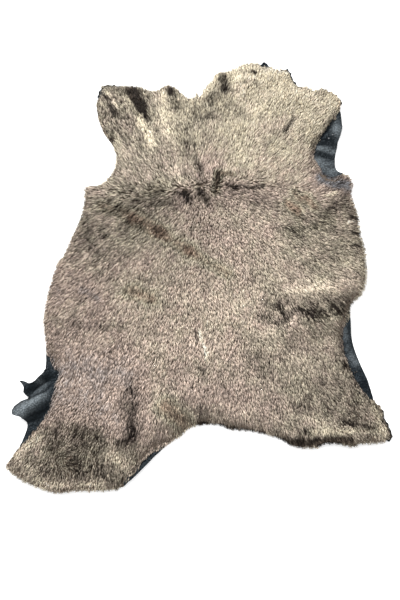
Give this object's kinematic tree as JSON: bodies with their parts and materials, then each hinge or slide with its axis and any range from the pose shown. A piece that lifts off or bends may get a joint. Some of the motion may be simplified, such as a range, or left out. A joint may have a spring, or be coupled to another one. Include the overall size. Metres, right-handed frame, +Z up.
{
  "type": "sheepskin",
  "caption": "Whole sheepskin laid flat with its short mottled coat up: neck, forelegs and hind legs spread, and soft black leather bare in the armpits and groins.",
  "frame": {"origin": "on the floor, under the middle of the box that holds the outline", "axes": "+Z up, out of the coat; +Y towards the neck; +X towards the animal's right side"},
  "size_m": [0.803, 1.0537, 0.0221],
  "materials": {
    "coat": "short dense hair, dark brown at the root and cream at the tip",
    "bare leather": "soft black leather with a fine pebbled grain, satin"
  },
  "bodies": {
    "root": {"sheepskin": "coat"}
  },
  "joints": []
}
